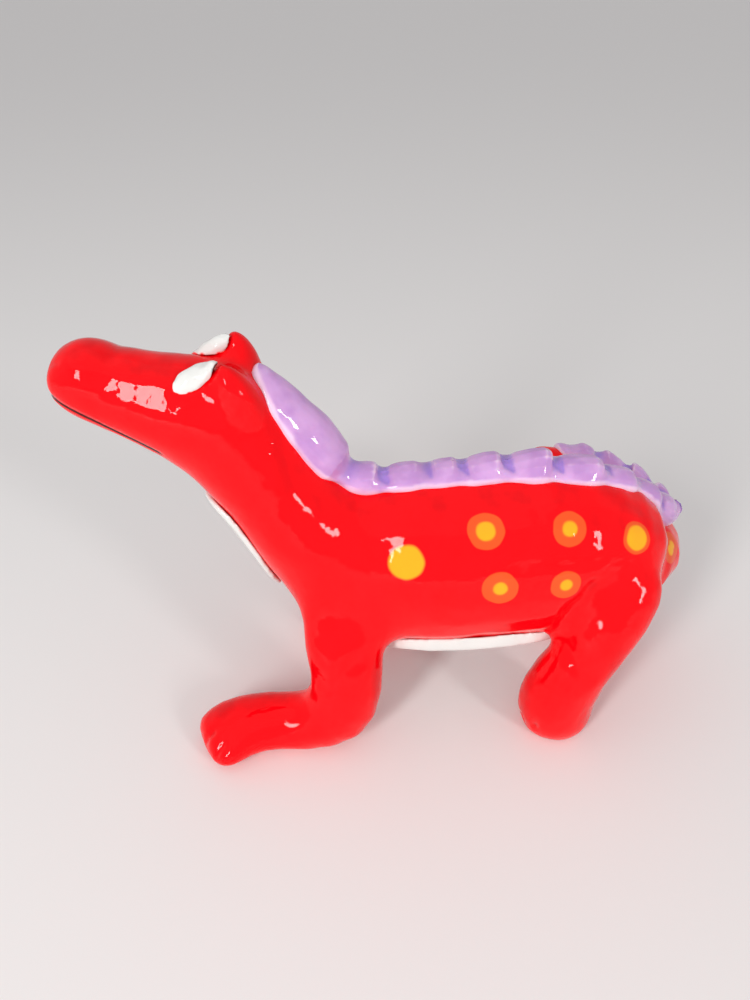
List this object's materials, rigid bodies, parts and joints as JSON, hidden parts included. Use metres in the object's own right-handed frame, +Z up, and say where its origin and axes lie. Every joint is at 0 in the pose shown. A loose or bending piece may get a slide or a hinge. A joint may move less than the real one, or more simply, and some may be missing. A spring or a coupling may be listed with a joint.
{
  "type": "painted animal figurine",
  "caption": "Glazed ceramic crested lizard on four bent legs, head raised, scalloped crest down the neck and back, tail curled forward along its flank.",
  "frame": {"origin": "on the ground, at the centre of the figurine's box in X and Y", "axes": "the nose points along -X, the animal's left side faces -Y, +Z is up"},
  "size_m": [0.1566, 0.0708, 0.1035],
  "materials": {
    "red_glazed_clay": "opaque bright red under a thick clear gloss glaze, with orange and yellow spots on the flanks",
    "white_glazed_clay": "opaque white under a clear gloss glaze",
    "lavender_glazed_clay": "brushed lavender glaze, deeper violet where it pools, glossy"
  },
  "bodies": {
    "root": {"torso": "red_glazed_clay", "neck": "red_glazed_clay", "head": "red_glazed_clay", "lower_jaw": "red_glazed_clay", "brow_left": "red_glazed_clay", "brow_right": "red_glazed_clay", "tail": "red_glazed_clay", "foreleg_left": "red_glazed_clay", "foreleg_right": "red_glazed_clay", "hind_leg_left": "red_glazed_clay", "hind_leg_right": "red_glazed_clay", "eye_left": "white_glazed_clay", "eye_right": "white_glazed_clay", "belly_plate": "white_glazed_clay", "throat_plate": "white_glazed_clay", "neck_crest": "lavender_glazed_clay", "crest_scale_01": "lavender_glazed_clay", "crest_scale_02": "lavender_glazed_clay", "crest_scale_03": "lavender_glazed_clay", "crest_scale_04": "lavender_glazed_clay", "crest_scale_05": "lavender_glazed_clay", "crest_scale_06": "lavender_glazed_clay", "crest_scale_07": "lavender_glazed_clay", "crest_scale_08": "lavender_glazed_clay", "crest_scale_09": "lavender_glazed_clay", "tail_scale_01": "lavender_glazed_clay", "tail_scale_02": "lavender_glazed_clay", "tail_scale_03": "lavender_glazed_clay", "tail_scale_04": "lavender_glazed_clay", "tail_scale_05": "lavender_glazed_clay", "tail_scale_06": "lavender_glazed_clay"}
  },
  "joints": []
}
